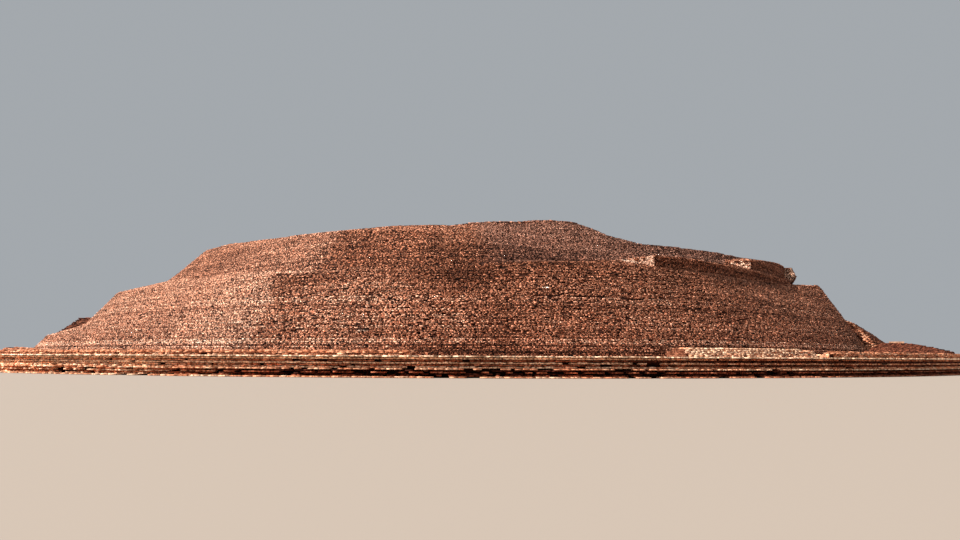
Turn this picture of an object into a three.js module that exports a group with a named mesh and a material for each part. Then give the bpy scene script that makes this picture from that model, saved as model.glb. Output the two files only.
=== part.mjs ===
import * as THREE from 'three';

// Ruined brick stupa on a low round moulded podium, as a scale model at 1:2.
// Tables are in metres of the real stupa; SCALE turns them into model millimetres.
// Azimuth is in degrees: 0 faces the front (-Y), 90 the right (+X), 180 the back.

const SCALE = 500;
const GAP = 0.3;
const BULGE = 1.5;

// Podium: heights above its foot and outer radii of its bands
const PODIUM_R = 35.0;
const FOOTING_TOP = 0.05;
const PLINTH_TOP = 0.28;
const LEDGE_TOP = 0.33;
const BAND_TOP = 0.7;
const DECK = 0.77;
const FOOTING_OUT = 0.2;
const LEDGE_OUT = 0.03;
const PLINTH_SET = 0.04;
const BAND_SET = 0.26;
const LIP_SET = 0.08;
const RING_INNER = 32.6;
const FORWARD = 0.14;

// Mound: hidden heart and the level where the upper tier starts on the lower one
const HEART_R = 12.0;
const HEART_TOP = 9.0;
const TIER_LEVEL = 5.9;
const SUMMIT = 9.7;

// Outline of the mound at chosen azimuths, each row:
// azimuth, foot r, toe r h, step r h, rim r h, bench r h, brow r h, shelf r h, crown r h
const OUTLINE = [
  [-180, 30.3, 29.1, 2.1, 27.9, 3.4, 26.4, 4.9, 23.8, 5.6, 20.1, 8.3, 17.6, 8.9, 15.0, 9.35],
  [-135, 30.3, 29.1, 2.1, 27.8, 3.3, 26.2, 4.9, 23.6, 5.7, 20.2, 8.4, 17.8, 8.9, 15.2, 9.35],
  [-100, 30.5, 29.5, 1.8, 27.0, 3.7, 25.9, 4.9, 23.3, 5.8, 20.2, 8.35, 18.0, 8.85, 15.8, 9.25],
  [-91, 30.6, 29.5, 1.8, 26.9, 3.9, 25.9, 4.95, 23.2, 5.85, 20.3, 8.3, 18.4, 8.85, 16.2, 9.2],
  [-82, 30.8, 29.8, 1.9, 27.4, 3.3, 26.0, 4.9, 23.1, 5.7, 20.4, 8.3, 18.9, 8.85, 16.5, 9.15],
  [-70, 30.9, 29.95, 1.95, 28.0, 2.4, 26.1, 4.85, 23.1, 5.68, 20.5, 8.25, 18.9, 8.85, 16.3, 9.15],
  [-64, 30.9, 29.95, 1.95, 28.0, 2.4, 26.1, 4.85, 23.1, 5.68, 20.5, 8.25, 18.9, 8.85, 16.2, 9.15],
  [-58, 30.8, 29.8, 1.95, 28.0, 2.5, 26.0, 4.8, 23.2, 5.65, 20.4, 8.1, 18.4, 8.7, 15.6, 9.15],
  [-50, 30.4, 29.3, 1.9, 27.7, 2.8, 25.7, 4.65, 23.1, 5.6, 20.1, 7.9, 18.0, 8.6, 15.2, 9.2],
  [-41, 29.9, 28.8, 1.9, 27.5, 3.1, 25.5, 4.5, 23.3, 5.3, 20.0, 7.65, 17.6, 8.4, 15.0, 9.15],
  [-34, 29.7, 28.6, 1.9, 27.3, 3.1, 25.5, 4.55, 23.6, 5.3, 20.3, 7.6, 17.6, 8.45, 14.6, 9.15],
  [-31, 29.75, 28.65, 1.9, 27.4, 3.1, 25.7, 4.6, 23.9, 5.3, 20.75, 7.65, 17.6, 8.5, 14.5, 9.15],
  [-28, 29.85, 28.75, 1.9, 27.6, 3.15, 25.9, 4.62, 24.2, 5.28, 21.05, 7.7, 17.6, 8.5, 14.4, 9.15],
  [-24, 30.1, 29.0, 1.9, 27.9, 3.15, 26.25, 4.65, 24.8, 5.15, 21.5, 7.62, 17.6, 8.5, 14.3, 9.15],
  [-19.5, 30.45, 29.4, 1.9, 28.2, 3.15, 26.7, 4.72, 25.6, 5.0, 22.15, 7.52, 17.6, 8.5, 14.2, 9.15],
  [-17, 30.35, 29.25, 2.0, 28.05, 3.25, 26.55, 4.72, 26.0, 4.9, 22.6, 7.47, 17.6, 8.5, 14.0, 9.15],
  [-13, 30.2, 29.1, 1.95, 27.9, 3.25, 26.35, 4.75, 26.1, 4.95, 22.6, 7.42, 17.6, 8.6, 13.9, 9.15],
  [-4, 30.0, 28.85, 2.0, 27.6, 3.4, 26.3, 4.8, 26.1, 5.0, 22.6, 7.3, 17.5, 8.6, 13.8, 9.15],
  [2, 30.15, 29.0, 2.0, 27.7, 3.45, 26.4, 4.9, 26.1, 5.1, 23.6, 6.7, 17.5, 8.45, 13.9, 9.3],
  [9, 30.15, 29.0, 2.05, 27.65, 3.6, 26.3, 5.2, 26.0, 5.35, 24.6, 5.95, 17.5, 8.4, 14.0, 9.42],
  [15, 30.1, 28.95, 2.1, 27.65, 3.7, 26.3, 5.28, 25.6, 5.5, 21.0, 7.05, 17.2, 8.5, 14.4, 9.42],
  [22.5, 30.1, 28.9, 2.1, 27.6, 3.7, 26.4, 5.2, 23.8, 5.92, 20.0, 7.52, 17.6, 8.6, 15.2, 9.47],
  [28, 30.05, 28.9, 2.1, 27.5, 3.7, 26.2, 5.17, 23.8, 5.92, 20.3, 7.62, 17.8, 8.7, 15.4, 9.5],
  [31, 30.05, 28.85, 2.1, 27.4, 3.7, 26.05, 5.15, 23.85, 5.92, 20.8, 7.45, 16.6, 8.8, 15.2, 9.5],
  [34, 30.05, 28.8, 2.1, 27.3, 3.7, 25.85, 5.14, 23.85, 5.92, 21.2, 7.4, 15.6, 8.3, 13.8, 9.4],
  [38, 30.0, 28.75, 2.1, 27.2, 3.7, 25.5, 5.13, 23.85, 5.92, 21.6, 7.37, 15.2, 8.05, 12.8, 9.3],
  [45, 30.0, 28.7, 2.2, 27.1, 3.7, 25.3, 5.14, 23.85, 5.92, 22.2, 7.32, 15.2, 8.0, 12.7, 9.25],
  [54, 29.9, 28.7, 2.4, 27.3, 3.9, 25.3, 5.2, 23.85, 5.92, 22.9, 7.25, 15.2, 7.95, 12.7, 9.2],
  [62, 29.6, 28.75, 2.5, 27.75, 4.1, 26.2, 5.55, 23.85, 5.92, 23.2, 7.1, 15.6, 7.95, 12.8, 9.2],
  [66, 29.55, 28.75, 2.5, 27.85, 4.1, 26.85, 5.74, 24.0, 5.95, 22.8, 7.1, 15.8, 8.1, 13.0, 9.2],
  [80, 29.8, 28.85, 2.4, 27.8, 4.0, 26.8, 5.6, 24.0, 5.9, 21.8, 7.4, 16.5, 8.5, 14.0, 9.25],
  [100, 30.1, 29.0, 2.3, 27.8, 3.7, 26.5, 5.2, 23.9, 5.8, 20.8, 8.0, 17.2, 8.8, 14.8, 9.3],
  [135, 30.2, 29.1, 2.2, 27.8, 3.5, 26.4, 5.0, 23.8, 5.7, 20.2, 8.3, 17.6, 8.9, 15.0, 9.35],
  [180, 30.3, 29.1, 2.1, 27.9, 3.4, 26.4, 4.9, 23.8, 5.6, 20.1, 8.3, 17.6, 8.9, 15.0, 9.35],
];

// Stepped brick shells at the upper right: azimuth, outer r and top h of the low one
const SHELL_LOW = [
  [22.5, 26.25, 5.85],
  [32, 25.85, 5.83],
  [38, 25.35, 5.82],
  [45, 25.1, 5.84],
  [66, 25.1, 6.05],
  [90, 25.1, 6.05],
];

// High shell: outer r, share of the upper tier's face that it reaches at its end, degrees in which
// it rises to the whole face, clearance in mm behind it; then azimuth and top h
const SHELL_HIGH_R = 24.7;
const SHELL_SHARE = 0.55;
const SHELL_RISE = 9;
const SHELL_CLEAR = 80;
const SHELL_HIGH = [
  [45, 6.6],
  [54, 6.85],
  [66, 7.1],
];
const SHELL_REAR = [
  [66, 7.05],
  [90, 6.3],
];

// Where the low shell's top climbs the upper tier, the share of the height that it reaches, and
// the clearance in mm that it would have behind it at the full height
const BANK_MIDDLE = 45;
const BANK_HALF = 7;
const BANK_SHARE = 0.4;
const BANK_CLEAR = 60;

// Azimuths where every body of the mound has a cross-section
const STATIONS = [
  -180, -170, -160, -150, -142, -135, -127, -118, -109, -100, -91, -82, -76, -70, -64, -58,
  -54, -50, -45, -41, -37, -34, -31, -28, -24, -19.5, -17, -13, -8, -4, -1, 2, 5.5, 9, 12,
  15, 19, 22.5, 25, 28, 31, 34, 38, 41, 45, 49, 54, 58, 62, 66, 70, 75, 80, 90, 100, 109,
  118, 127, 135, 142, 150, 160, 170, 180,
];

// Low wall on the deck at the right: azimuth, height at its edge, middle and top
const LOW_WALL = [
  [44, 0.85, 0.9, 0.95],
  [48, 1.0, 1.1, 1.2],
  [53, 1.1, 1.35, 1.5],
  [57, 1.15, 1.5, 1.68],
  [64, 1.15, 1.5, 1.68],
  [67, 1.1, 1.4, 1.55],
  [70.5, 1.0, 1.2, 1.3],
];

// Flat slab on the low wall: length, width, thickness, radius and azimuth of its middle
const SLAB = [2.3, 0.8, 0.13];
const SLAB_R = 31.15;
const SLAB_AZIMUTH = 60;

const BRICK = { color: 0x8f5a42, roughness: 0.95, metalness: 0 };
const BRICK_WARM = { color: 0xa0664a, roughness: 0.95, metalness: 0 };
const BRICK_GREY = { color: 0x7a5546, roughness: 0.95, metalness: 0 };
const BRICK_PALE = { color: 0xc08c6c, roughness: 0.9, metalness: 0 };

const group = new THREE.Group();
group.name = 'stupa';

const mm = (value) => value * SCALE;

function rowAt(table, azimuth) {
  for (let i = 0; i < table.length - 1; i += 1) {
    const a = table[i];
    const b = table[i + 1];
    if (azimuth >= a[0] && azimuth <= b[0]) {
      const t = (azimuth - a[0]) / (b[0] - a[0]);
      return a.map((value, k) => value + (b[k] - value) * t);
    }
  }
  throw new Error(`no row at azimuth ${azimuth}`);
}

function moundAt(azimuth) {
  const row = rowAt(OUTLINE, azimuth);
  const point = (k) => [mm(row[k]), mm(row[k + 1])];
  return {
    foot: [mm(row[1]), mm(DECK)],
    toe: point(2),
    step: point(4),
    rim: point(6),
    bench: point(8),
    brow: point(10),
    shelf: point(12),
    crown: point(14),
    heart: [mm(HEART_R), mm(row[15] + 0.05)],
    level: [mm(HEART_R), mm(TIER_LEVEL)],
  };
}

function between(from, to, list = STATIONS) {
  const inside = list.filter((azimuth) => azimuth > from && azimuth < to);
  return [from, ...inside, to];
}

function place(azimuth, point, slide = 0) {
  const angle = THREE.MathUtils.degToRad(azimuth);
  const x = point[0] * Math.sin(angle) + slide * Math.cos(angle);
  const y = -point[0] * Math.cos(angle) + slide * Math.sin(angle);
  return [x, y, point[1]];
}

function addMesh(name, look, positions, triangles) {
  const geometry = new THREE.BufferGeometry();
  geometry.setAttribute('position', new THREE.Float32BufferAttribute(positions, 3));
  geometry.setIndex(outward(positions, triangles));
  geometry.computeVertexNormals();
  const mesh = new THREE.Mesh(geometry, new THREE.MeshStandardMaterial(look));
  mesh.name = name;
  group.add(mesh);
}

// Turns every triangle round when the closed body would face inwards
function outward(positions, triangles) {
  const corner = (index) => new THREE.Vector3().fromArray(positions, index * 3);
  let volume = 0;
  for (let i = 0; i < triangles.length; i += 3) {
    const a = corner(triangles[i]);
    const b = corner(triangles[i + 1]);
    const c = corner(triangles[i + 2]);
    volume += a.dot(b.cross(c));
  }
  return volume > 0 ? triangles : triangles.slice().reverse();
}

// A body between two azimuths; section(azimuth) gives its closed outline of [r, z] points
function sector(name, look, azimuths, section) {
  const outlines = azimuths.map(section);
  const count = outlines[0].length;
  const last = azimuths.length - 1;
  const positions = [];
  azimuths.forEach((azimuth, i) => {
    const slide = i === 0 ? GAP / 2 : i === last ? -GAP / 2 : 0;
    outlines[i].forEach((point) => positions.push(...place(azimuth, point, slide)));
  });
  const triangles = [];
  for (let i = 0; i < last; i += 1) {
    for (let j = 0; j < count; j += 1) {
      addQuad(triangles, outlines, i, j, (j + 1) % count, count);
    }
  }
  addEnd(triangles, outlines[0], 0, false);
  addEnd(triangles, outlines[last], last * count, true);
  addMesh(name, look, positions, triangles);
}

// The diagonal depends on the place only, so bodies that lie on one another agree
function addQuad(triangles, outlines, i, j, k, count) {
  const a = i * count + j;
  const b = i * count + k;
  const c = a + count;
  const d = b + count;
  const p = outlines[i][j];
  const q = outlines[i][k];
  const outerFirst = Math.abs(p[0] - q[0]) > 1 ? p[0] > q[0] : p[1] < q[1];
  if (outerFirst) {
    triangles.push(a, b, d, a, d, c);
  } else {
    triangles.push(a, b, c, b, d, c);
  }
}

function addEnd(triangles, outline, start, isLast) {
  const contour = outline.map((point) => new THREE.Vector2(point[0], point[1]));
  THREE.ShapeUtils.triangulateShape(contour, []).forEach(([a, b, c]) => {
    const clockwise = THREE.ShapeUtils.isClockWise(contour);
    const turn = isLast !== clockwise;
    triangles.push(start + a, start + (turn ? b : c), start + (turn ? c : b));
  });
}

// A full round body with a flat bottom; edge(azimuth) gives the outer top point
function disc(name, look, radius, bottom, edgeTop, centreTop) {
  const azimuths = STATIONS.slice(0, -1);
  const count = azimuths.length;
  const positions = [];
  azimuths.forEach((azimuth) => positions.push(...place(azimuth, [radius, bottom])));
  azimuths.forEach((azimuth) => positions.push(...place(azimuth, [radius, edgeTop(azimuth)])));
  positions.push(0, 0, bottom);
  positions.push(0, 0, centreTop);
  const triangles = [];
  for (let i = 0; i < count; i += 1) {
    const next = (i + 1) % count;
    triangles.push(i, next, count + next);
    triangles.push(i, count + next, count + i);
    triangles.push(2 * count, next, i);
    triangles.push(2 * count + 1, count + i, count + next);
  }
  addMesh(name, look, positions, triangles);
}

function lowerSection(azimuth) {
  const m = moundAt(azimuth);
  const floor = mm(DECK) + GAP;
  const inner = [m.level[0], floor];
  return [[m.foot[0], floor], m.toe, m.step, m.rim, seatAt(azimuth), m.bench, m.level, inner];
}

// Point on the bench of the lower tier where the shells stand, or its middle elsewhere
function seatAt(azimuth) {
  const m = moundAt(azimuth);
  if (azimuth < 22.5 || azimuth > 90) {
    return onLine(m.rim, m.bench, (m.rim[0] + m.bench[0]) / 2);
  }
  return onLine(m.rim, m.bench, mm(rowAt(SHELL_LOW, azimuth)[1]));
}

// Point at radius r, a little above the straight line through a and b
function onLine(a, b, r) {
  const t = (r - a[0]) / (b[0] - a[0]);
  return [r, a[1] + (b[1] - a[1]) * t + BULGE];
}

function upperSection(azimuth) {
  const m = moundAt(azimuth);
  const lift = (point) => [point[0], point[1] + GAP];
  return [lift(m.bench), m.brow, m.shelf, m.crown, m.heart, lift(m.level)];
}

function addPodium() {
  const arcs = {
    front: [-36, 24.6],
    front_right: [24.6, 84],
    back_right: [84, 144],
    back: [144, 204],
    back_left: [204, 264],
    front_left: [264, 324],
  };
  Object.entries(arcs).forEach(([side, [from, to]]) => {
    const count = 15;
    const azimuths = Array.from({ length: count + 1 }, (_, i) => from + ((to - from) * i) / count);
    const out = side === 'front_right' ? FORWARD : 0;
    sector(`plinth_${side}`, BRICK_WARM, azimuths, () => plinthSection());
    sector(`podium_${side}`, BRICK_WARM, azimuths, () => podiumSection(out));
  });
}

function plinthSection() {
  const inner = mm(RING_INNER);
  return [
    [mm(PODIUM_R + FOOTING_OUT), 0],
    [mm(PODIUM_R + FOOTING_OUT), mm(FOOTING_TOP)],
    [mm(PODIUM_R - PLINTH_SET), mm(FOOTING_TOP)],
    [mm(PODIUM_R - PLINTH_SET), mm(PLINTH_TOP)],
    [mm(PODIUM_R + LEDGE_OUT), mm(PLINTH_TOP)],
    [mm(PODIUM_R + LEDGE_OUT), mm(LEDGE_TOP)],
    [inner, mm(LEDGE_TOP)],
    [inner, 0],
  ];
}

function podiumSection(out) {
  const inner = mm(RING_INNER);
  return [
    [mm(PODIUM_R - BAND_SET + out), mm(LEDGE_TOP) + GAP],
    [mm(PODIUM_R - BAND_SET + out), mm(BAND_TOP)],
    [mm(PODIUM_R - LIP_SET + out), mm(BAND_TOP)],
    [mm(PODIUM_R - LIP_SET + out), mm(DECK)],
    [inner, mm(DECK)],
    [inner, mm(LEDGE_TOP) + GAP],
  ];
}

function addBed() {
  const radius = mm(RING_INNER) * Math.cos(Math.PI / 90) - GAP;
  const bed = new THREE.CylinderGeometry(radius, radius, mm(DECK), 90);
  bed.rotateX(Math.PI / 2);
  bed.translate(0, 0, mm(DECK) / 2);
  const mesh = new THREE.Mesh(bed, new THREE.MeshStandardMaterial(BRICK_WARM));
  mesh.name = 'podium_bed';
  group.add(mesh);
}

function addLowerTier() {
  const parts = {
    lower_front: [-19.5, 22.5],
    lower_front_right: [22.5, 66],
    lower_right: [66, 109],
    lower_back_right: [109, 150],
    lower_back_left: [-150, -100],
    lower_left: [-100, -58],
    lower_front_left: [-58, -19.5],
  };
  Object.entries(parts).forEach(([name, [from, to]]) => {
    sector(name, BRICK, between(from, to), lowerSection);
  });
  sector('lower_back', BRICK, throughBack(150, -150), (azimuth) => lowerSection(turned(azimuth)));
}

function addUpperTier() {
  const parts = {
    upper_front: [9, 22.5],
    upper_front_right: [22.5, 45],
    upper_right: [45, 90],
    upper_back_right: [90, 135],
    upper_back_left: [-135, -76],
    upper_left: [-76, -31],
    upper_left_facet: [-31, -17],
    upper_rough_facet: [-17, 9],
  };
  Object.entries(parts).forEach(([name, [from, to]]) => {
    sector(name, BRICK_GREY, between(from, to), upperSection);
  });
  const azimuths = throughBack(135, -135);
  sector('upper_back', BRICK_GREY, azimuths, (azimuth) => upperSection(turned(azimuth)));
}

// Stations from one side round the back to the other, past 180 degrees
function throughBack(from, to) {
  const first = STATIONS.filter((azimuth) => azimuth >= from && azimuth < 180);
  const second = STATIONS.filter((azimuth) => azimuth <= to).map((azimuth) => azimuth + 360);
  return [...first, ...second];
}

function turned(azimuth) {
  return azimuth > 180 ? azimuth - 360 : azimuth;
}

// Point on the face of the upper tier, at a share of its height
function onFace(m, share) {
  return [
    m.bench[0] + (m.brow[0] - m.bench[0]) * share,
    m.bench[1] + (m.brow[1] - m.bench[1]) * share,
  ];
}

// The low shell's top is banked up against the upper tier where the high shell ends
function shellLowSection(azimuth) {
  const m = moundAt(azimuth);
  const seat = seatAt(azimuth);
  const outer = [seat[0], mm(rowAt(SHELL_LOW, azimuth)[2])];
  const banked = BANK_SHARE * Math.max(0, 1 - Math.abs(azimuth - BANK_MIDDLE) / BANK_HALF);
  const face = onFace(m, banked);
  const tip = [face[0] + GAP + BANK_CLEAR * banked, face[1] + Math.max(outer[1] - m.bench[1], 0) + 25];
  const middle = onLine(outer, tip, mm(SHELL_HIGH_R));
  return [[seat[0], seat[1] + GAP], outer, middle, tip, [m.bench[0] + 4 * GAP, m.bench[1] + GAP]];
}

function shellHighSection(azimuth) {
  const m = moundAt(azimuth);
  const under = shellLowSection(azimuth);
  const outer = [mm(SHELL_HIGH_R), mm(rowAt(SHELL_HIGH, azimuth)[1])];
  const share = Math.min(1, SHELL_SHARE + ((1 - SHELL_SHARE) * (azimuth - BANK_MIDDLE)) / SHELL_RISE);
  const face = onFace(m, share);
  const back = [face[0] + 2 * GAP + SHELL_CLEAR * (1 - share), face[1]];
  return [[under[2][0], under[2][1] + GAP], outer, back, [under[3][0], under[3][1] + GAP]];
}

// Rear shell past the step: stands out further than the high shell
function shellRearSection(azimuth) {
  const m = moundAt(azimuth);
  const seat = seatAt(azimuth);
  const top = mm(rowAt(SHELL_REAR, azimuth)[1]);
  const back = [m.brow[0] + 2 * GAP, m.brow[1]];
  return [
    [seat[0], seat[1] + GAP],
    [mm(25.45), seat[1] + mm(0.6)],
    [mm(25.2), top],
    back,
    [m.bench[0] + 2 * GAP, m.bench[1] + GAP],
  ];
}

function addShells() {
  sector('shell_low', BRICK, between(22.5, 66), shellLowSection);
  sector('shell_high', BRICK, between(45, 66), shellHighSection);
  sector('shell_rear', BRICK, between(66, 90), shellRearSection);
}

function addSummit() {
  const heart = mm(HEART_R) - GAP;
  disc('heart', BRICK, heart, mm(DECK) + GAP, () => mm(HEART_TOP), mm(HEART_TOP));
  const edge = (azimuth) => moundAt(azimuth).heart[1];
  disc('summit_cap', BRICK_GREY, heart, mm(HEART_TOP) + GAP, edge, mm(SUMMIT));
  sector('crown_course_low', BRICK_GREY, between(-4, 31), (a) => courseSection(a, 0.1, 0, 0.1));
  sector('crown_course_high', BRICK_GREY, between(2, 31), (a) => courseSection(a, 0.45, 0.1, 0.2));
}

// A course on the crown: set back from its edge, between two heights above it
function courseSection(azimuth, back, from, to) {
  const m = moundAt(azimuth);
  const slope = (m.heart[1] - m.crown[1]) / (m.heart[0] - m.crown[0]);
  const outer = m.crown[0] - mm(back);
  const inner = mm(HEART_R + 0.15);
  const level = (radius, rise) => m.crown[1] + slope * (radius - m.crown[0]) + mm(rise);
  return [
    [outer, level(outer, from) + 2 * GAP],
    [outer, level(outer, to)],
    [inner, level(inner, to)],
    [inner, level(inner, from) + 2 * GAP],
  ];
}

// A low body on the podium deck: rows of azimuth, outer r, shoulder r, inner r, shoulder h, inner h
function deckBody(name, look, rows) {
  const azimuths = rows.map((row) => row[0]);
  sector(name, look, azimuths, (azimuth) => {
    const [, outer, shoulder, inner, high, inside] = rowAt(rows, azimuth);
    const floor = mm(DECK) + GAP;
    return [[mm(outer), floor], [mm(shoulder), mm(high)], [mm(inner), mm(inside)], [mm(inner), floor]];
  });
}

function addDeckPieces() {
  deckBody('foot_bench', BRICK_PALE, [
    [17.6, 31.6, 31.55, 30.5, 0.86, 0.88],
    [18.4, 31.6, 31.55, 30.5, 1.1, 1.14],
    [23, 31.6, 31.55, 30.5, 1.12, 1.16],
    [27.5, 31.6, 31.55, 30.5, 1.12, 1.16],
    [32, 31.6, 31.55, 30.5, 1.08, 1.12],
  ]);
  deckBody('deck_step_left', BRICK_PALE, stepRows(-62, -2, 34.3, 33.2, 0.92));
  deckBody('deck_step_right', BRICK_PALE, stepRows(26, 74, 34.75, 34.35, 0.98));
  deckBody('deck_rubble_left', BRICK_PALE, [
    [-52, 32.9, 32.3, 31.6, 0.86, 0.85],
    [-47, 32.9, 32.2, 31.5, 1.15, 1.0],
    [-42, 32.9, 32.2, 31.4, 1.1, 0.95],
    [-37, 32.9, 32.3, 31.6, 0.86, 0.85],
  ]);
  sector('right_low_wall', BRICK, LOW_WALL.map((row) => row[0]), lowWallSection);
  addCapSlab();
}

// Remains of a wall on the deck at the right, flat on top where the slab lies
function lowWallSection(azimuth) {
  const [, edge, middle, top] = rowAt(LOW_WALL, azimuth);
  const floor = mm(DECK) + GAP;
  return [
    [mm(34.2), floor],
    [mm(34.0), mm(edge)],
    [mm(32.6), mm(middle)],
    [mm(31.7), mm(top)],
    [mm(30.5), mm(top)],
    [mm(30.5), floor],
  ];
}

function stepRows(from, to, outer, inner, high) {
  const count = Math.round((to - from) / 4);
  return Array.from({ length: count + 1 }, (_, i) => {
    const azimuth = from + ((to - from) * i) / count;
    return [azimuth, outer, outer, inner, high, high];
  });
}

function addCapSlab() {
  const slab = new THREE.BoxGeometry(mm(SLAB[0]), mm(SLAB[1]), mm(SLAB[2]));
  const angle = THREE.MathUtils.degToRad(SLAB_AZIMUTH);
  slab.rotateZ(angle);
  const top = rowAt(LOW_WALL, SLAB_AZIMUTH)[3];
  const height = mm(top + SLAB[2] / 2) + GAP;
  slab.translate(mm(SLAB_R) * Math.sin(angle), -mm(SLAB_R) * Math.cos(angle), height);
  const mesh = new THREE.Mesh(slab, new THREE.MeshStandardMaterial(BRICK_PALE));
  mesh.name = 'cap_slab';
  group.add(mesh);
}

// Fallen masses behind: rows of azimuth, outer r, knee r h, top r h
function heap(name, look, rows) {
  const azimuths = rows.map((row) => row[0]);
  sector(name, look, azimuths, (azimuth) => {
    const [, outer, kneeR, kneeH, topR, topH] = rowAt(rows, azimuth);
    const m = moundAt(azimuth);
    const floor = mm(DECK) + GAP;
    return [
      [mm(outer), floor],
      [mm(kneeR), mm(kneeH)],
      [mm(topR), mm(topH)],
      [m.step[0] + 1, m.step[1] + 6],
      [m.toe[0] + 1, m.toe[1] + 1],
      [m.foot[0] + 1, floor],
    ];
  });
}

function addHeaps() {
  heap('rear_heap_left', BRICK, [
    [-109, 31.6, 31.0, 1.3, 29.6, 2.6],
    [-100, 32.2, 31.5, 1.9, 29.9, 3.6],
    [-91, 32.4, 31.6, 2.4, 30.3, 4.0],
    [-82, 32.3, 31.4, 2.2, 30.1, 3.6],
    [-76, 31.7, 31.2, 1.6, 30.4, 2.45],
  ]);
  heap('rear_spur_right', BRICK_WARM, [
    [71, 31.6, 31.0, 1.1, 29.9, 1.5],
    [75, 32.4, 31.6, 1.85, 29.7, 3.25],
    [80, 32.7, 31.8, 1.7, 29.8, 3.2],
    [90, 32.7, 31.8, 1.6, 29.8, 3.0],
    [100, 32.2, 31.5, 1.3, 29.8, 2.5],
  ]);
}

addPodium();
addBed();
addLowerTier();
addUpperTier();
addSummit();
addShells();
addDeckPieces();
addHeaps();

export default group;
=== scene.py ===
import math

import bpy
import numpy as np
from mathutils import Matrix, Vector
from mathutils.bvhtree import BVHTree


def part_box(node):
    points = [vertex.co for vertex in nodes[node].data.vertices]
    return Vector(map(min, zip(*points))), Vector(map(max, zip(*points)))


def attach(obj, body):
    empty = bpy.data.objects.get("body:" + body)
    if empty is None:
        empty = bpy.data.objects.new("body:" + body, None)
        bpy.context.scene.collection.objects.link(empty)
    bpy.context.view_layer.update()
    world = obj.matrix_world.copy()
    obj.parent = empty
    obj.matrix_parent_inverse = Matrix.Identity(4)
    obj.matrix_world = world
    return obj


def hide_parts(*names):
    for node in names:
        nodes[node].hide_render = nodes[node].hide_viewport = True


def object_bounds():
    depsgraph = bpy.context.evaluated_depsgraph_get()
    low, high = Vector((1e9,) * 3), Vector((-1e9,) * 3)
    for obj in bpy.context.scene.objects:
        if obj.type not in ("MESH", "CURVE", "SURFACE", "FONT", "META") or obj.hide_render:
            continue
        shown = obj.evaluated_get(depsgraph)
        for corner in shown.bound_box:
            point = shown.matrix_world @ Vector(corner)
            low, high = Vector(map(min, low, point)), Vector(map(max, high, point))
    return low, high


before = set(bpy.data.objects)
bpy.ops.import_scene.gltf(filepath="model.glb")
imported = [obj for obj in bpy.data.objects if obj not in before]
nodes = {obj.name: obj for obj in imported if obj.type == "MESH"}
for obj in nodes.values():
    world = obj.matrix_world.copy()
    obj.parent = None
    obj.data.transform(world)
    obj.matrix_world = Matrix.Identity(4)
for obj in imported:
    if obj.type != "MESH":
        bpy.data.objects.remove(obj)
cad_low, cad_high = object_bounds()
SEED = 11
random = np.random.default_rng(SEED)

# Metres of the half-scale model; azimuth 0 is the front (-Y), 90 degrees the right (+X)
ROUND = 2.0 * math.pi
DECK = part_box("podium_bed")[1].z
TOP = cad_high.z - 0.002

# Outlines: azimuths, height above the foot of a course, least jump and halvings to place it
SAMPLES = 1440
SAMPLE_TURN = ROUND / SAMPLES
AZIMUTHS = np.linspace(0.0, ROUND, SAMPLES, endpoint=False) - math.pi
SCAN_ABOVE = 0.002
JUMP = 0.12
HALVINGS = 5

# Rays: start outside and above, reach round the mound, and steepness of an upright face
FAR = 30.0
ABOVE = cad_high.z + 1.0
REACH = 0.15
UPRIGHT = 0.9

# Height of the unit normal from which a slope is paved
PAVED = 0.978

# Bricks: height, length, joint, depths, overlap with the next course, and widest turn
COURSE = 0.035
BRICK = 0.08
JOINT = 0.004
DEPTH = (0.08, 0.2)
OVERLAP = 0.03
WIDEST = 0.2

# Bricks are longer behind: how many times, from which azimuth, and fade in radians
BEHIND = 2.4
FRONT = math.radians(75.0)
CHANGE = 0.3

# How single bricks stray: width of joints, outliers, turn, and height at the ends
JOINT_LEAST = 0.6
STRAY_FROM = 0.9
STRAY_OUT = 0.02
YAW = 0.6
LIFT = 0.05
THINNER = (0.3, 1.3)
EVEN_JOINT = 0.14

# Calmer stretches: share of wear on calm nodes, and share taken off to the left
CALM_WEAR = 0.4
LEFT_LESS = 0.4
LEFT_LESS_FROM = (16.0, 20.0)

# Courses: how height, tone and place differ, the last two less where the wall is worn; a course's tone is
# partly painted shade, the dark lines of set-back courses
LAST_COURSE = 0.6
COURSE_RANGE = (0.92, 1.08)
COURSE_TONE, TONE_LIMIT = 0.34, 1.3
COURSE_OUT, OUT_LIMIT = 0.014, 1.2

# Slow waves of the courses: height, number round the mound and phase
WAVES = [(0.006, 3.0, 0.7), (0.004, 11.0, 2.1)]

# Patches where more bricks are lost: waves round and up the mound, their bend, and range of change
PATCH_WAVES = [(14, 1.3), (19, 1.8), (25, 2.3), (30, 2.8), (35, 3.3)]
PATCH_PHASE, PATCH_TURN, PATCH_RISE, PATCH_BEND = 3.0, 1.7, 2.0, 1.3
PATCH_SUM = 3.0
PATCH_RANGE = (-0.6, 2.0)

# Faces that look round the mound: place, depth, height and tones of bricks; those that look left are painted
# sunlit with light, pale tones, the others painted shaded with dark tones, and the rear shell's end lighter
# still
FACE_UNEVEN = 0.3
FACE_OUT = 0.01
FACE_ROUGH = 0.4
FACE_DEPTH = 0.1
FACE_HEIGHT = (0.84, 0.97)
PAINTED_SUN_FACE_TONES = (0.55, 0.95)
PAINTED_SHADE_FACE_TONES = (0.15, 0.55)
PAINTED_SUN_FACE_PALE = 0.7
REAR_PAINTED_SUN_LIGHTER, REAR_PAINTED_SUN_PALE = 0.35, 0.2

# Those that face left are painted sunlit beyond this radius only
PAINTED_SUN_FACE_FROM = {"shell_high": 11.75, "foot_bench": 20.0}

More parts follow.
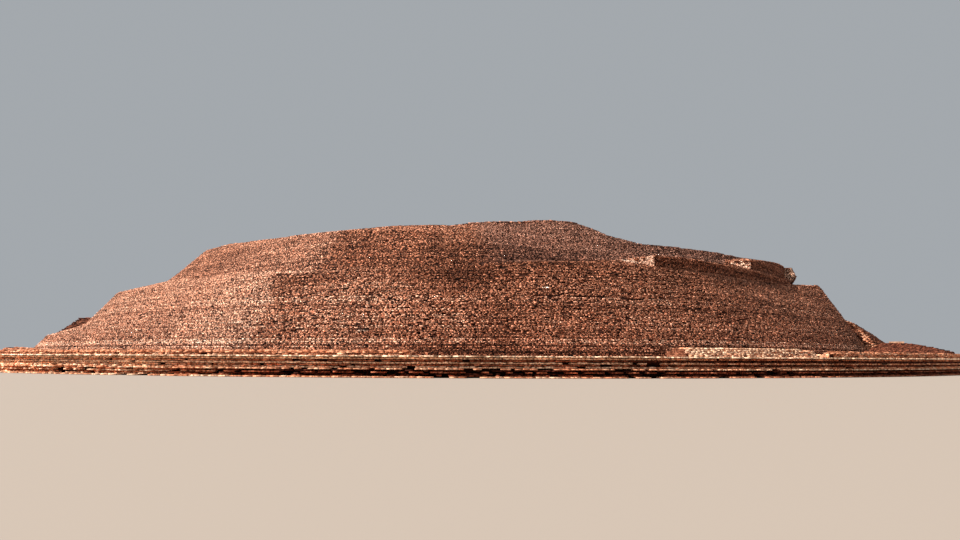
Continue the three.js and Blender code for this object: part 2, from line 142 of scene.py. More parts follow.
# Paving: share lost, height and spread, tilt, gaps, depth, tones, and radius and reach of its fade
PAVING_LOST = 0.05
PAVING_UP, PAVING_SPREAD = 0.014, 0.006
PAVING_TILT = 0.003
RING_GAP = 0.003
PAVING_DEPTH = 0.03
PAVING_TONES = (0.25, 0.75)
PLAIN_TO, PLAIN_FADE = 7.0, 4.0


def step(value, low, high):
    """Rises smoothly from 0 at low to 1 at high."""
    share = np.clip((value - low) / (high - low), 0.0, 1.0)
    return share * share * (3.0 - 2.0 * share)


def place(angle, radius, z):
    """One point from its azimuth, radius and height."""
    return Vector((radius * math.sin(angle), -radius * math.cos(angle), z))


def polar(angle, radius, z):
    """Many points from their azimuths, radii and heights."""
    return np.stack([radius * np.sin(angle), -radius * np.cos(angle), z], axis=-1)


class Solid:
    """Named CAD nodes as one target for rays."""

    def __init__(self, names):
        points, faces, self.owner = [], [], []
        for number, name in enumerate(names):
            first = len(points)
            mesh = nodes[name].data
            points += [vertex.co.copy() for vertex in mesh.vertices]
            for polygon in mesh.polygons:
                faces.append([first + i for i in polygon.vertices])
                self.owner.append(number)
        self.tree = BVHTree.FromPolygons(points, faces)

    def cast(self, angle, z):
        """Outer radius, owner's number and steepness at one azimuth and height."""
        out = place(angle, 1.0, 0.0)
        start = out * FAR + Vector((0.0, 0.0, z))
        point, normal, face, _ = self.tree.ray_cast(start, -out, FAR)
        if point is None:
            return math.nan, -1, 1.0
        return math.hypot(point.x, point.y), self.owner[face], abs(normal.z)

    def level(self, z):
        """The same at every azimuth; a ray lost in a gap takes its neighbour's place."""
        rows = np.array([self.cast(angle, z) for angle in AZIMUTHS])
        before, after = np.roll(rows[:, 0], 1), np.roll(rows[:, 0], -1)
        lone = np.isnan(rows[:, 0]) & ~np.isnan(before + after)
        in_gap = lone | (rows[:, 0] < np.fmin(before, after) - JUMP)
        rows[in_gap] = np.roll(rows, 1, axis=0)[in_gap]
        return rows[:, 0], rows[:, 1].astype(int), rows[:, 2]

    def faces_round(self, angle, radius, z, side):
        """Whether an upright face looks to this side here."""
        start = place(angle + side * REACH / radius, radius, z)
        along = Vector((-side * math.cos(angle), -side * math.sin(angle), 0.0))
        point, normal, _, _ = self.tree.ray_cast(start, along, 2.0 * REACH)
        return point is not None and abs(normal.z) < UPRIGHT

    def below(self, angle, radius):
        """Height, owner and normal of the first surface from above."""
        down = Vector((0.0, 0.0, -1.0))
        point, normal, face, _ = self.tree.ray_cast(place(angle, radius, ABOVE), down)
        if point is None:
            return None
        return point.z, self.owner[face], normal


# What each brick hands to its material
LABELS = ("tone", "age", "pale")


def add_bricks(bricks, name, corners, tones, age=0.0, pale=0.0):
    """Adds to one piece: tone runs from dark to light, age greys, and pale makes it paler, for bleached
    brick and for painted sunlight.
    """
    looks = np.zeros((len(corners), len(LABELS)))
    looks[:, 0] = tones
    looks[:, 1] = age
    looks[:, 2] = pale
    bricks.setdefault(name, []).append((corners, looks))


# Corners: bottom left and right, top left and right, then the back ones; there is no back face
QUADS = np.array([[0, 1, 3, 2], [4, 0, 2, 6], [1, 5, 7, 3], [2, 3, 7, 6], [4, 5, 1, 0]])

# Place of each face in its brick's square of the map: left, bottom, width, height
PATCHES = np.array([
    [0.03, 0.52, 0.62, 0.45], [0.69, 0.77, 0.28, 0.2], [0.69, 0.52, 0.28, 0.2],
    [0.03, 0.03, 0.62, 0.45], [0.69, 0.03, 0.28, 0.2],
])


def brick_corners(left, right, front, back, bottom, tops):
    """Corners from angles, radii of the four in front, back radius and heights."""
    points = []
    for radii in (front, [back] * 4):
        points += [polar(left, radii[0], bottom), polar(right, radii[1], bottom)]
        points += [polar(left, radii[2], tops[0]), polar(right, radii[3], tops[1])]
    return np.stack(points, axis=1)


def divide(radius, length, spread):
    """Angles that divide a round into bricks of about this length, longer behind."""
    known = np.where(np.isnan(radius), 0.0, radius)
    behind = np.clip((np.abs(AZIMUTHS) - FRONT) / CHANGE, 0.0, 1.0)
    known = known / (1.0 + (BEHIND - 1.0) * behind)
    arc = np.concatenate([[0.0], np.cumsum(known * SAMPLE_TURN)])
    total = arc[-1]
    lengths = random.uniform(1.0 - spread, 1.0 + spread, int(total / length))
    ends = np.concatenate([[0.0], np.cumsum(lengths)]) * (total / lengths.sum())
    ends = (ends + random.uniform(0.0, length)) % total
    ends.sort()
    turns = np.linspace(0.0, ROUND, SAMPLES + 1) - math.pi
    return np.interp(ends, arc, turns)


def sample(values, angle):
    """Values of an outline at other azimuths."""
    index = np.round((angle + math.pi) / ROUND * SAMPLES).astype(int) % SAMPLES
    return values[index]


def wave(angle):
    """Slow rise and fall of the courses round the mound."""
    return sum(height * np.sin(number * angle + phase) for height, number, phase in WAVES)


def patches(angle, z):
    """Smooth noise of about -1 to 1 over the wall."""
    total = np.zeros_like(angle)
    for k, (turn, rise) in enumerate(PATCH_WAVES, 1):
        bend = PATCH_BEND * np.sin(rise * z + k + PATCH_PHASE)
        total += np.sin(turn * angle + PATCH_PHASE * k * PATCH_TURN + rise * z * PATCH_RISE + bend)
    return total / PATCH_SUM


class Style:
    """How the bricks of one kind of wall are laid and worn.

    look gives age, paleness and tone. out, rough and lean are metres: before the node, out of line and
    back at the top. spread, missing, joint, tones and wavy are shares: of length, of all bricks, of the
    course, of the palette and of the slow waves. batter is the step down to the next course, wear_at
    the wear at a height, keep leaves bricks out, and calm nodes wear less.
    """

    length, joint, tones, wavy, batter = BRICK, 0.1, 0.5, 0.0, 0.0
    wear_at, keep, calm = None, None, ()

    def __init__(self, look, **values):
        self.look = look
        for key, value in values.items():
            setattr(self, key, value)


class Course:
    """One course: its heights, its outline and the next one's, its wear and tone."""

    def __init__(self, low, high, outline, above, wear=1.0, lighter=0.0):
        self.low, self.high, self.above = low, high, above
        self.radius, self.owner, self.steep = outline
        self.wear, self.lighter = wear, lighter

    def wear_along(self, style, owners, who, middle):
        """Wear of each brick of the course."""
        if not style.calm:
            return self.wear
        calm = np.array([(owners[i] or "").startswith(style.calm) for i in who])
        wear = np.where(calm, CALM_WEAR * self.wear, self.wear)
        return wear * (1.0 - LEFT_LESS * step(-np.degrees(middle), *LEFT_LESS_FROM))


class Draws:
    """Random numbers for each brick of a course; three rows are spare."""

    def __init__(self, count):
        rows = random.random((8, count))
        self.loss, self.gap, self.stray, self.reach, self.thin, _, self.tone, self.keep = rows
        rows = random.normal(size=(8, count))
        self.out, self.yaw, self.lean_left, self.lean_right, _, self.lift_left, self.lift_right, _ = rows


def worn_corners(course, style, start, end, z, wear, draw):
    """Corners of the bricks of one course, each a little out of place."""
    middle = (start + end) / 2.0
    radius = sample(course.radius, middle)
    gap = JOINT / 2.0 / np.maximum(radius, 1.0) * (JOINT_LEAST + draw.gap)
    left, right = start + gap, end - gap
    at_left, at_right = sample(course.radius, left), sample(course.radius, right)
    jump = np.abs(at_right - at_left) > JUMP
    out = style.out + style.rough * draw.out * wear
    out = out + np.where(draw.stray > STRAY_FROM, STRAY_OUT * draw.reach * wear, 0.0)
    yaw = YAW * style.rough * draw.yaw * wear
    at_left = np.where(jump, radius, at_left) + out + yaw
    at_right = np.where(jump, radius, at_right) + out - yaw
    front = (at_left, at_right, at_left - np.abs(draw.lean_left) * style.lean * wear,
             at_right - np.abs(draw.lean_right) * style.lean * wear)
    inner = sample(course.above, middle)
    inner = np.where(np.isnan(inner), radius - DEPTH[1], inner)
    back = radius - np.clip(radius - inner + OVERLAP, *DEPTH)
    rise = course.high - course.low
    thinner = style.joint * (THINNER[0] + THINNER[1] * draw.thin * wear)
    top = course.low + rise * (1.0 - thinner - EVEN_JOINT * (1.0 - wear))
    tops = [np.minimum(top + LIFT * rise * lift * wear + (z - course.low), TOP)
            for lift in (draw.lift_left, draw.lift_right)]
    return brick_corners(left, right, front, back, np.minimum(z, TOP - 0.01), tops)


def lay_course(bricks, owners, course, style):
    """Bricks round one course; those whose owner has no name are left out."""
    start = divide(course.radius, style.length, style.spread)
    end = np.roll(start, -1)
    end = np.where(end < start, end + ROUND, end)
    middle = (start + end) / 2.0
    who = sample(course.owner, middle)
    wear = course.wear_along(style, owners, who, middle)
    z = course.low + style.wavy * wave(middle)
    draw = Draws(len(middle))
    good = (who >= 0) & (sample(course.steep, middle) < PAVED) & (end - start < WIDEST)
    lost = style.missing * (1.0 + np.clip(patches(middle, course.low), *PATCH_RANGE))
    good &= draw.loss > lost * wear
    if style.keep is not None:
        good &= style.keep(middle, z, draw.keep)
    corners = worn_corners(course, style, start, end, z, wear, draw)
    tones = 0.5 + style.tones * (draw.tone - 0.5) + course.lighter
    for number in np.unique(who[good]):
        name = owners[number]
        if name is None:
            continue
        mine = good & (who == number)
        age, pale, lighter = style.look(name, middle[mine], course.low)
        add_bricks(bricks, name, corners[mine], np.clip(tones[mine] + lighter, 0.0, 1.0), age, pale)


def lay_face(bricks, solid, name, edge, side, radii, z0, z1, style):
    """Bricks of one course on a face that looks round the mound, at azimuth edge."""
    inner, outer = radii
    count = max(1, round((outer - inner) / style.length))
    ends = np.linspace(inner, outer, count + 1)
    ends[1:-1] += random.uniform(-FACE_UNEVEN, FACE_UNEVEN, count - 1) * (outer - inner) / count
    near, far = ends[:-1] + JOINT / 2.0, ends[1:] - JOINT / 2.0
    height = (z0 + z1) / 2.0
    real = np.array([solid.faces_round(edge, r, height, side) for r in (near + far) / 2.0])
    near, far = near[real], far[real]
    count = len(near)
    middle = (near + far) / 2.0
    front = edge + side * (FACE_OUT + FACE_ROUGH * style.rough * random.normal(size=count)) / middle
    back = edge - side * FACE_DEPTH / middle
    left, right = (near, far) if side < 0.0 else (far, near)
    low = np.full(count, z0)
    top = np.minimum(z0 + (z1 - z0) * random.uniform(*FACE_HEIGHT, count), TOP)
    points = [polar(angle, radius, z)
              for angle in (front, back) for z in (low, top) for radius in (left, right)]
    age, _, _ = style.look(name, np.full(count, edge), z0)
    # Faces that look left are painted sunlit, with light, pale tones; the others get dark tones as painted
    # shade
    fresh = (middle > PAINTED_SUN_FACE_FROM.get(name, 0.0)) & (side < 0.0)
    tones = np.where(fresh, random.uniform(*PAINTED_SUN_FACE_TONES, count), random.uniform(*PAINTED_SHADE_FACE_TONES, count))
    pale = PAINTED_SUN_FACE_PALE
    # The rear shell's lit end is painted lighter still, as painted sunlight
    if name == "shell_rear":
        tones, pale = np.minimum(tones + REAR_PAINTED_SUN_LIGHTER, 1.0), REAR_PAINTED_SUN_PALE
    add_bricks(bricks, name, np.stack(points, axis=1), tones, age, np.where(fresh, pale, 0.0))


def lay_ends(bricks, solid, owners, radius, z0, z1, style):
    """Faces the jumps of the outline with bricks."""
    after = np.roll(radius, -1)
    for i in np.nonzero(np.abs(after - radius) > JUMP)[0]:
        low, high = AZIMUTHS[i], AZIMUTHS[i] + SAMPLE_TURN
        for _ in range(HALVINGS):
            middle = (low + high) / 2.0
            r = solid.cast(middle, z0 + SCAN_ABOVE)[0]
            if abs(r - radius[i]) < abs(r - after[i]):
                low = middle
            else:
                high = middle
        side = -1.0 if after[i] > radius[i] else 1.0
        owner = solid.cast(high if side < 0.0 else low, z0 + SCAN_ABOVE)[1]
        if owner >= 0 and owners[owner] is not None:
            lay_face(bricks, solid, owners[owner], low, side, sorted((radius[i], after[i])), z0, z1, style)


def lay_wall(bricks, names, low, high, style, behind=(), course=COURSE):
    """Courses over the named nodes, with others behind them."""
    solid = Solid(list(names) + list(behind))
    owners = list(names) + [None] * len(behind)
    levels = [low]
    while levels[-1] < high - LAST_COURSE * course:
        levels.append(levels[-1] + course * random.uniform(*COURSE_RANGE))
    outlines = [solid.level(min(z + SCAN_ABOVE, TOP)) for z in levels]
    count = len(levels) - 1
    for k in range(count):
        wear = style.wear_at(levels[k]) if style.wear_at else 1.0
        lighter = COURSE_TONE * random.normal() * (TONE_LIMIT - wear)
        out = COURSE_OUT * abs(random.normal()) * (OUT_LIMIT - wear) + style.batter * (count - 1 - k)
        radius, owner, steep = outlines[k]
        moved = (radius + out, owner, steep)
        one = Course(levels[k], levels[k + 1], moved, outlines[k + 1][0], wear, lighter)
        lay_course(bricks, owners, one, style)
        lay_ends(bricks, solid, owners, radius, levels[k], levels[k + 1], style)
    return solid


def flat_places(solid, middle, row, count):
    """Azimuth, height and half rise of the flat places on one ring, for each owner."""
    turn = ROUND / count
    first = -math.pi + random.uniform(0.0, turn)
    found = {}
    for i in range(count):
        angle = first + i * turn
        hit = solid.below(angle, middle)
        if hit is None or hit[2].z < PAVED or random.random() < PAVING_LOST:
            continue
        z, owner, normal = hit
        rise = -normal.dot(place(angle, 1.0, 0.0)) / normal.z * row / 2.0
        found.setdefault(owner, []).append((angle, z, rise))
    return found


def paving_corners(angle, z, rise, turn, radius, row):
    """Corners of flat bricks, each a little tilted."""
    count = len(angle)
    gap = JOINT / radius
    top = np.minimum(z + PAVING_UP + PAVING_SPREAD * random.normal(size=count), TOP)
    sides = (angle - turn / 2.0 + gap, angle + turn / 2.0 - gap)
    outer = np.full(count, radius + row - RING_GAP)
    inner = np.full(count, radius + RING_GAP)
    tilts = PAVING_TILT * random.normal(size=(4, count))
    points = []
    for edge, up, pair in ((outer, rise, tilts[:2]), (inner, -rise, tilts[2:])):
        points += [polar(side, edge, z + up - PAVING_DEPTH) for side in sides]
        points += [polar(side, edge, np.minimum(top + up + tilt, TOP)) for side, tilt in zip(sides, pair)]
    return np.stack(points, axis=1)


def pave(bricks, solid, names, inner, outer, look, row=0.13, length=0.2):
    """Flat bricks in rings on the gently sloping surfaces."""
    radius = inner
    while radius < outer:
        count = int(ROUND * radius / length)
        found = flat_places(solid, radius + row / 2.0, row, count)
        for owner, rows in found.items():
            angle, z, rise = np.array(rows).T
            corners = paving_corners(angle, z, rise, ROUND / count, radius, row)
            if owner < len(names):
                age, pale, _ = look(names[owner], angle, float(z.mean()))
                share = min(1.0, max(0.0, (radius - PLAIN_TO) / PLAIN_FADE))
                tones = random.uniform(*PAVING_TONES, len(angle))
                add_bricks(bricks, names[owner], corners, tones, age * share, pale * share)
        radius += row


def add_object(name, data):
    made = bpy.data.objects.new(name, data)
    bpy.context.scene.collection.objects.link(made)
    return made


def brick_map(count):
    """Map corners: each brick has its own square, and each face its patch there."""
    side = math.ceil(math.sqrt(count))
    cell = np.stack([np.arange(count) % side, np.arange(count) // side], axis=-1) / side
    unit = np.array([[0, 0], [1, 0], [1, 1], [0, 1]], float)
    local = PATCHES[:, None, :2] + unit[None] * PATCHES[:, None, 2:]
    return cell[:, None, None, :] + local[None] / side


def brick_mesh(name, corners, looks):
    """One mesh of separate bricks, open at the back, each with its look and map."""
    count, sides = len(corners), len(QUADS)
    mesh = bpy.data.meshes.new(name)
    mesh.vertices.add(count * 8)
    mesh.vertices.foreach_set("co", corners.astype(np.float32).ravel())
    mesh.loops.add(count * sides * 4)
    index = (np.arange(count)[:, None, None] * 8 + QUADS[None]).astype(np.int32)
    mesh.loops.foreach_set("vertex_index", index.ravel())
    mesh.polygons.add(count * sides)
    mesh.polygons.foreach_set("loop_start", np.arange(0, count * sides * 4, 4, dtype=np.int32))
    mesh.update(calc_edges=True)
    for label, values in zip(LABELS, looks.T):
        layer = mesh.attributes.new(label, "FLOAT", "FACE")
        layer.data.foreach_set("value", np.repeat(values, sides).astype(np.float32))
    layer = mesh.uv_layers.new(name="OFBake")
    layer.data.foreach_set("uv", brick_map(count).astype(np.float32).ravel())
    return mesh


# Pieces of redder, darker brick than the rest of their slot; on the left rear heap this darker red is partly
# painted shade
RUBBLE = ("rear_heap_left", "rear_spur_right", "right_low_wall")


def finish_bricks(bricks, materials):
    """Makes one piece of each node's bricks."""
    made = {}
    for name in sorted(bricks):
        mesh = brick_mesh("bricks_" + name, *[np.concatenate(rows) for rows in zip(*bricks[name])])
        mesh.materials.append(materials["rubble" if name in RUBBLE else slot_of(name)])
        piece = add_object("bricks_" + name, mesh)
        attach(piece, "root")
        made[name] = piece
    return made


class Nodes:
    """Short way to make and join shader nodes."""

    def __init__(self, name):
        self.material = bpy.data.materials.new(name)
        self.material.use_nodes = True
        self.tree = self.material.node_tree
        self.tree.nodes.clear()

    def new(self, kind, values=None, **settings):
        node = self.tree.nodes.new(kind)
        for key, value in settings.items():
            setattr(node, key, value)
        for key, value in (values or {}).items():
            self.put(node.inputs[key], value)
        return node

    def put(self, socket, value):
        if isinstance(value, bpy.types.NodeSocket):
            self.tree.links.new(value, socket)
        else:
            socket.default_value = value

    def geometry(self, label):
        return self.new("ShaderNodeNewGeometry").outputs[label]

    def attribute(self, label):
        return self.new("ShaderNodeAttribute", attribute_name=label).outputs["Fac"]

    def math(self, operation, *values):
        return self.new("ShaderNodeMath", dict(enumerate(values)), operation=operation).outputs[0]

    def vector(self, operation, *values):
        node = self.new("ShaderNodeVectorMath", dict(enumerate(values)), operation=operation)
        return node.outputs["Value" if operation == "LENGTH" else "Vector"]

    def combine(self, x, y, z=0.0):
        return self.new("ShaderNodeCombineXYZ", {"X": x, "Y": y, "Z": z}).outputs[0]

    def split(self, vector):
        return self.new("ShaderNodeSeparateXYZ", {"Vector": vector}).outputs

    def mix(self, factor, a, b):
        return self.new("ShaderNodeMix", {"Factor": factor, 6: a, 7: b}, data_type="RGBA").outputs[2]

    def ramp(self, factor, stops):
        node = self.new("ShaderNodeValToRGB", {0: factor})
        ramp = node.color_ramp
        while len(ramp.elements) < len(stops):
            ramp.elements.new(0.5)
        for element, (position, colour) in zip(ramp.elements, stops):
            element.position = position
            element.color = colour
        return node.outputs[0]

    def noise(self, vector, scale, detail, rough):
        values = {"Vector": vector, "Scale": scale, "Detail": detail, "Roughness": rough}
        return self.new("ShaderNodeTexNoise", values).outputs[0]

    def cells(self, vector, scale):
        """One random value for each cell."""
        node = self.new("ShaderNodeTexVoronoi", {"Vector": vector, "Scale": scale})
        return self.new("ShaderNodeSeparateColor", {"Color": node.outputs["Color"]}).outputs[0]

    def finish(self, colour, roughness, specular, relief=None):
        """Joins a plain surface to the output; relief is strength, distance and height."""
        shader = self.new("ShaderNodeBsdfPrincipled", {
            "Base Color": colour, "Roughness": roughness, "Specular IOR Level": specular})
        if relief:
            strength, distance, height = relief
            bump = self.new("ShaderNodeBump", {"Strength": strength, "Distance": distance, "Height": height})
            self.put(shader.inputs["Normal"], bump.outputs[0])
        out = self.new("ShaderNodeOutputMaterial")
        self.tree.links.new(shader.outputs[0], out.inputs[0])
        return self.material


def rgb(r, g, b):
    """An sRGB colour in 0..255 as linear RGBA."""
    def linear(value):
        value /= 255.0
        return value / 12.92 if value <= 0.04045 else ((value + 0.055) / 1.055) ** 2.4
    return (linear(r), linear(g), linear(b), 1.0)


def palette(*colours):
    """Stops of a ramp, evenly spaced."""
    return [(i / (len(colours) - 1), rgb(*colour)) for i, colour in enumerate(colours)]


# Tones of brick from dark to light
WARM = palette((92, 54, 38), (142, 89, 65), (172, 114, 87), (195, 137, 109), (224, 177, 149))
GREY = palette((86, 56, 46), (122, 84, 70), (148, 108, 92), (172, 131, 114), (210, 174, 154))
PALE = palette((152, 102, 80), (198, 142, 116), (220, 169, 142), (238, 193, 166), (250, 224, 202))
# ORANGE and DARK are more saturated, partly the brick's colour and partly painted warm light bounced from
# the ground into shade
ORANGE = palette((152, 82, 53), (206, 126, 88), (232, 155, 115), (247, 180, 140), (253, 213, 179))
DARK = palette((70, 30, 18), (122, 62, 40), (162, 90, 62), (192, 117, 85), (222, 156, 120))
RED = palette((50, 25, 17), (88, 48, 34), (114, 63, 45), (136, 79, 58), (166, 106, 82))

# Brick materials: fresh, old and pale tones, the pale ones for bleached brick and for painted sunlight,
# depth of the flecks and flecks in a metre
BRICK_MATERIALS = {
    "mound_brick": (WARM, GREY, PALE, 1.6, 42.0),
    "upper_brick": (WARM, GREY, PALE, 1.9, 42.0),
    "podium_brick": (DARK, GREY, ORANGE, 0.7, 30.0),
    "pale_brick": (WARM, GREY, ORANGE, 0.7, 30.0),
    "rubble": (RED, GREY, ORANGE, 1.0, 30.0),
}

# Masonry behind the bricks: two tints and mortar of the paving, and tint of the wall, painted dark as the
# shade in the holes between bricks
CORE_MATERIALS = {
    "core_mound": (rgb(140, 86, 62), rgb(110, 66, 48), rgb(60, 38, 28), rgb(46, 22, 14)),
    "core_upper": (rgb(128, 86, 68), rgb(104, 70, 56), rgb(60, 40, 32), rgb(46, 25, 18)),
    "core_podium": (rgb(170, 112, 80), rgb(130, 82, 58), rgb(80, 50, 36), rgb(40, 18, 10)),
    "core_pale": (rgb(200, 140, 104), rgb(160, 104, 76), rgb(90, 60, 44), rgb(56, 30, 20)),
}

# Noises of the materials: scale, detail and roughness
FINE = (60.0, 2.0, 0.6)
CLOUD = (0.7, 3.0, 0.55)
PITS = (48.0, 3.0, 0.65)
WOBBLE = (2.5, 2.0, 0.55)
DIRT = (5.0, 5.0, 0.65)
GRIT = (20.0, 4.0, 0.6)
SLAB_CLOUD = (6.0, 5.0, 0.65)
SLAB_PITS = (14.0, 4.0, 0.6)

# Brightness from a noise or a random value: factor and least
FINE_VALUE = (1.4, 0.3)
CLOUD_VALUE = (1.0, 0.5)
DIRT_VALUE = (0.9, 0.3)
ROW_VALUE = (1.8, 0.3)
DIRT_ROUGHNESS = (0.1, 0.85)

# Flecks: share of them and brightness; their shape, relief and least brightness. They are partly the grain
# of the brick and partly painted light and shade: sunlit chips and dark shadowed pits
FLECKS = [(0.0, 0.02), (0.3, 0.22), (0.6, 0.48), (0.85, 0.78), (1.0, 1.0)]
FLECK_SHAPE = (1.0, 1.0, 1.3)
FLECK_RELIEF = 0.6
DARKEST = 0.02

# Noise moves with a brick's tone, once along x and this many times along y
OWN_SHIFT = 7.3

# Brick is redder where its flecks are dark, partly its own colour and partly painted shade, the red of
# shadowed hollows: powers of the value for green and blue
SHADE_RED_POWERS = (1.25, 1.42)

# Finish: roughness, gloss of brick and masonry, and strength and depth of their relief
ROUGHNESS = 0.9
BRICK_GLOSS, CORE_GLOSS = 0.15, 0.1
BRICK_RELIEF = (0.6, 0.012)
CORE_RELIEF = (0.8, 0.012)
SLAB_RELIEF = (0.7, 0.02)

# Paving of the masonry: radius of its measure, wobble, bricks and joints, their cells, and flatness
RING_RADIUS = 14.0
WOBBLE_BY = 0.06
PAVER_LENGTH, PAVER_WIDTH, PAVER_JOINT, PAVER_SOFT = 0.19, 0.13, 0.006, 0.3
PAVER_CELLS, PAVER_WEIGHT = 6.0, 0.5
FLAT_FROM, FLAT_TO = 0.88, 0.94

# Steep masonry: cells in a metre, and their shape
WALL_CELLS = 14.0
WALL_SHAPE = (1.0, 1.0, 2.2)

SLAB = [(0.3, rgb(150, 108, 86)), (0.55, rgb(206, 160, 130)), (0.75, rgb(232, 196, 166))]


def brick_value(n, position, own, fleck, grain):
    """Brightness over a brick, and its flecks."""
    cells = n.cells(n.vector("MULTIPLY", own, FLECK_SHAPE), grain)
    flecks = n.ramp(cells, [(share, (value, value, value, 1.0)) for share, value in FLECKS])
    flecks = n.math("MAXIMUM", n.math("MULTIPLY_ADD", flecks, 2.0 * fleck, 1.0 - fleck), DARKEST)
    fine = n.math("MULTIPLY_ADD", n.noise(own, *FINE), *FINE_VALUE)
    cloud = n.math("MULTIPLY_ADD", n.noise(position, *CLOUD), *CLOUD_VALUE)
    return n.math("MULTIPLY", n.math("MULTIPLY", flecks, fine), cloud), cells


def brick_material(name, fresh, old, light, fleck, grain):
    """Old brick: a tone for each, flecks that are partly painted light and shade, stains over metres, and a
    pitted face; its darks are reddened partly as painted shade.
    """
    n = Nodes(name)
    position = n.geometry("Position")
    tone, age, pale = [n.attribute(label) for label in LABELS]
    own = n.vector("ADD", position, n.combine(tone, n.math("MULTIPLY", tone, OWN_SHIFT)))
    colour = n.mix(age, n.ramp(tone, fresh), n.ramp(tone, old))
    colour = n.mix(pale, colour, n.ramp(tone, light))
    value, cells = brick_value(n, position, own, fleck, grain)
    shade_reddened = [n.math("MINIMUM", n.math("POWER", value, power), value) for power in SHADE_RED_POWERS]
    colour = n.vector("MULTIPLY", colour, n.combine(value, *shade_reddened))
    height = n.math("ADD", n.math("MULTIPLY", cells, FLECK_RELIEF), n.noise(own, *PITS))
    return n.finish(colour, ROUGHNESS, BRICK_GLOSS, (*BRICK_RELIEF, height))


def ring_place(n, position):
    """Place on the paving: along its ring, and outwards."""
    x, y, _ = n.split(position)
    turn = n.math("ARCTAN2", x, n.math("MULTIPLY", y, -1.0))
    radius = n.vector("LENGTH", n.vector("MULTIPLY", position, (1.0, 1.0, 0.0)))
    return n.combine(n.math("MULTIPLY", turn, RING_RADIUS), radius)


def paving_nodes(n, position, dirt, tints, mortar):
    """Colour of the paving, and where its joints are."""
    ring = ring_place(n, position)
    wobble = n.math("MULTIPLY", n.noise(position, *WOBBLE), WOBBLE_BY)
    paving = n.new("ShaderNodeTexBrick", {
        "Vector": n.vector("ADD", ring, n.combine(0.0, wobble)), "Color1": tints[0], "Color2": tints[1],
        "Mortar": mortar, "Scale": 1.0, "Mortar Size": PAVER_JOINT, "Mortar Smooth": PAVER_SOFT,
        "Bias": 0.0, "Brick Width": PAVER_LENGTH, "Row Height": PAVER_WIDTH})
    least = n.math("MULTIPLY_ADD", dirt, *DIRT_VALUE)
    value = n.math("MULTIPLY_ADD", n.cells(ring, PAVER_CELLS), PAVER_WEIGHT, least)
    colour = n.new("ShaderNodeHueSaturation", {"Color": paving.outputs["Color"], "Value": value})
    return colour.outputs[0], paving.outputs["Fac"]


def core_material(name, light, dark, mortar, wall):
    """Masonry behind the bricks: paved in rings where it is flat, painted dark where it is steep, as the
    shade in the holes between bricks.
    """
    n = Nodes(name)
    position = n.geometry("Position")
    dirt = n.noise(position, *DIRT)
    paved, joints = paving_nodes(n, position, dirt, (light, dark), mortar)
    rows = n.cells(n.vector("MULTIPLY", position, WALL_SHAPE), WALL_CELLS)
    brightness = n.math("MULTIPLY_ADD", rows, *ROW_VALUE)
    painted_shade_wall = n.new("ShaderNodeVectorMath", {0: wall[:3], "Scale": brightness}, operation="SCALE")
    up = n.split(n.geometry("Normal"))[2]
    share = n.new("ShaderNodeMapRange", {"Value": up, "From Min": FLAT_FROM, "From Max": FLAT_TO})
    colour = n.mix(share.outputs[0], painted_shade_wall.outputs[0], paved)
    height = n.math("ADD", n.math("MULTIPLY", joints, -1.0), n.noise(position, *GRIT))
    roughness = n.math("MULTIPLY_ADD", dirt, *DIRT_ROUGHNESS)
    return n.finish(colour, roughness, CORE_GLOSS, (*CORE_RELIEF, height))


def slab_material():
    """Pale stone slab with worn edges and pits."""
    n = Nodes("slab")
    position = n.geometry("Position")
    colour = n.ramp(n.noise(position, *SLAB_CLOUD), SLAB)
    return n.finish(colour, ROUGHNESS, CORE_GLOSS, (*SLAB_RELIEF, n.noise(position, *SLAB_PITS)))


def make_materials():
    materials = {name: brick_material(name, *values) for name, values in BRICK_MATERIALS.items()}
    materials["slab"] = slab_material()
    materials.update({name: core_material(name, *values) for name, values in CORE_MATERIALS.items()})
    return materials


# Camera, sun and floor
CAMERA_PLACE = (0.625, -30.1, 0.34)
PITCH, ROLL = math.radians(7.0), math.radians(0.27)
SUN_AZIMUTH, SUN_HEIGHT, SUN_WIDTH = math.radians(-80.0), math.radians(47.0), math.radians(2.5)
FLOOR_RADIUS, FLOOR_HEIGHT, FLOOR_CORNERS = 700.0, -0.002, 64
FLOOR_COLOUR = (0.36, 0.305, 0.262, 1.0)


def add_camera():
    """Stands 30 m in front of the middle, tipped up by 7 degrees."""
    camera_data = bpy.data.cameras.new("camera")
    camera_data.sensor_width = 36.0
    camera_data.lens = 27.0
    camera_data.clip_end = 900.0
    camera = add_object("camera", camera_data)
    right = Vector((1.0, 0.0, 0.0))
    up = Vector((0.0, -math.sin(PITCH), math.cos(PITCH)))
    ahead = Vector((0.0, math.cos(PITCH), math.sin(PITCH)))
    rolled_right = right * math.cos(ROLL) + up * math.sin(ROLL)
    rolled_up = up * math.cos(ROLL) - right * math.sin(ROLL)
    turn = Matrix((rolled_right, rolled_up, -ahead)).transposed().to_4x4()
    camera.matrix_world = Matrix.Translation(CAMERA_PLACE) @ turn
    bpy.context.scene.camera = camera


def add_light():
    """A soft key from the left and an even pale fill."""
    sun_data = bpy.data.lights.new("key", "SUN")
    sun_data.energy = 6.6
    sun_data.angle = SUN_WIDTH
    sun_data.color = (1.0, 0.95, 0.88)
    sun = add_object("key", sun_data)
    towards = place(SUN_AZIMUTH, math.cos(SUN_HEIGHT), math.sin(SUN_HEIGHT))
    sun.rotation_mode = "QUATERNION"
    sun.rotation_quaternion = towards.to_track_quat("Z", "Y")
    world = bpy.data.worlds.new("fill")
    world.use_nodes = True
    shade = world.node_tree.nodes["Background"]
    shade.inputs["Color"].default_value = (0.88, 0.94, 1.0, 1.0)
    shade.inputs["Strength"].default_value = 0.42
    bpy.context.scene.world = world


